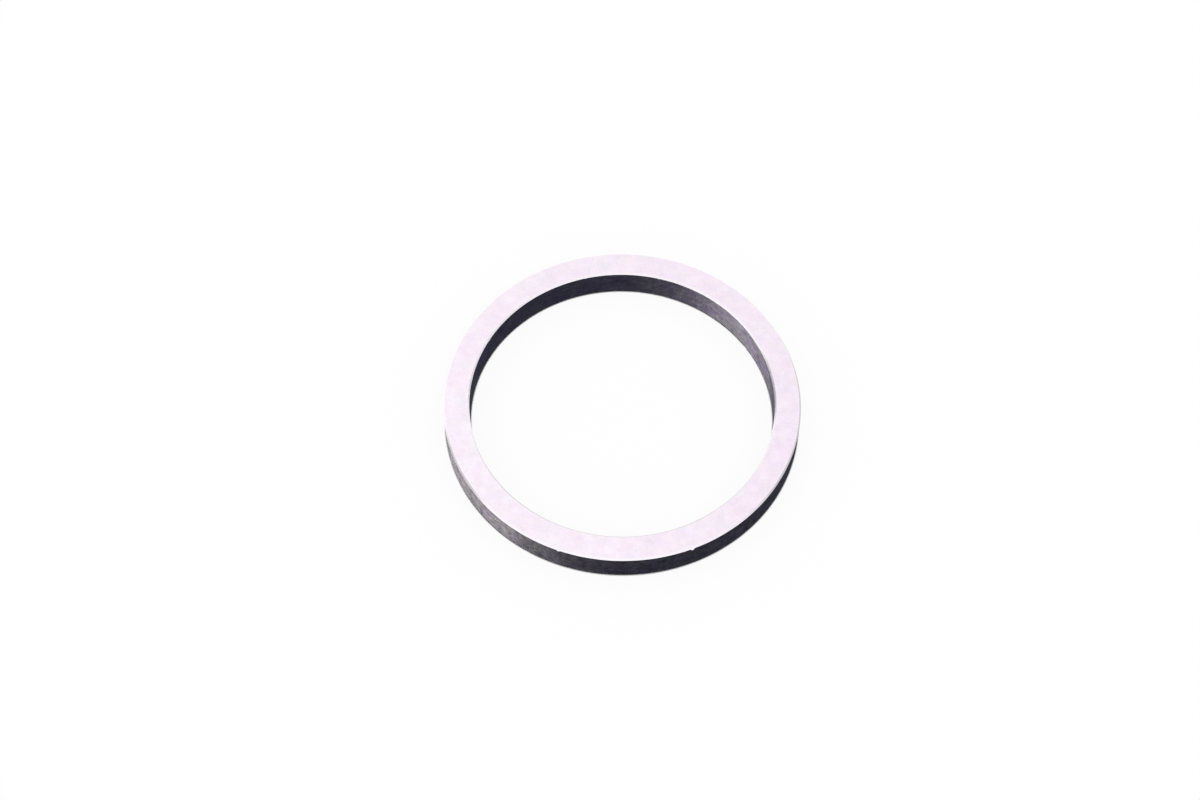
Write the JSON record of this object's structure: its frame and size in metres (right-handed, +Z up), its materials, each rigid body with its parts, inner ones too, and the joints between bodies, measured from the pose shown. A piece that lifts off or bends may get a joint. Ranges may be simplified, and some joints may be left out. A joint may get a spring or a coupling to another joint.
{
  "type": "shim ring",
  "caption": "Plain flat steel ring with a rectangular section, ground faces and broken edges, which sets the distance between two parts on a shaft or in a housing.",
  "frame": {"origin": "on the ring's axis, at the middle of its lower face", "axes": "+Z up along the ring's axis, from the lower face to the upper face; X and Y lie in the lower face"},
  "size_m": [0.055, 0.055, 0.005],
  "materials": {
    "ground_steel": "ground satin faces, darker turned bore and outside"
  },
  "bodies": {
    "root": {"shim_ring": "ground_steel"}
  },
  "joints": []
}
